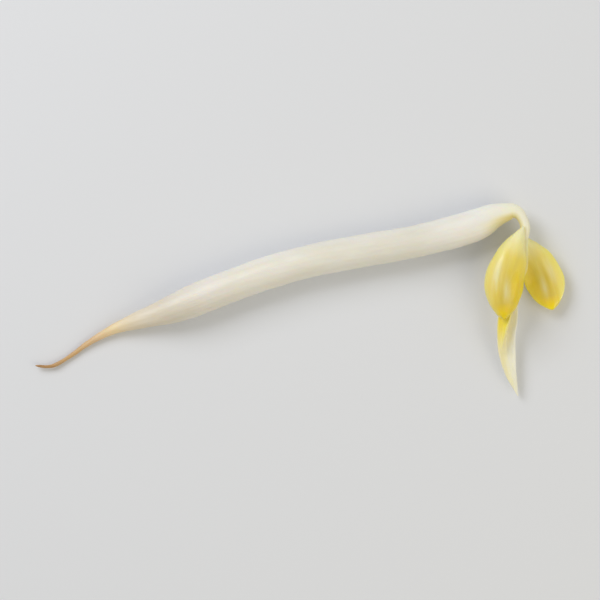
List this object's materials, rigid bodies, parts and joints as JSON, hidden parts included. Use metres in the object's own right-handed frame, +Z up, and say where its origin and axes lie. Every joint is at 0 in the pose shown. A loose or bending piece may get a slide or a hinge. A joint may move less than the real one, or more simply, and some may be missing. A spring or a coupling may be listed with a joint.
{
  "type": "mung bean sprout",
  "caption": "One mung bean sprout lying down: thick white stem, thin hooked neck, seed halves, folded young leaves and a tapered root tail.",
  "frame": {"origin": "on the surface that the sprout lies on, below the middle of its box", "axes": "+X from the root's end of the sprout towards its head, +Y towards the side that the neck bows out to, +Z up"},
  "size_m": [0.0618, 0.0224, 0.0053],
  "materials": {
    "stem_flesh": "satin",
    "root_skin": "matte",
    "seed_half": "satin",
    "shoot_flesh": "satin",
    "young_leaf": "satin"
  },
  "bodies": {
    "root": {"stem": "stem_flesh", "root": "root_skin", "cotyledon_upper": "seed_half", "cotyledon_lower": "seed_half", "shoot": "shoot_flesh", "leaf_short": "young_leaf", "leaf_long": "young_leaf"}
  },
  "joints": []
}
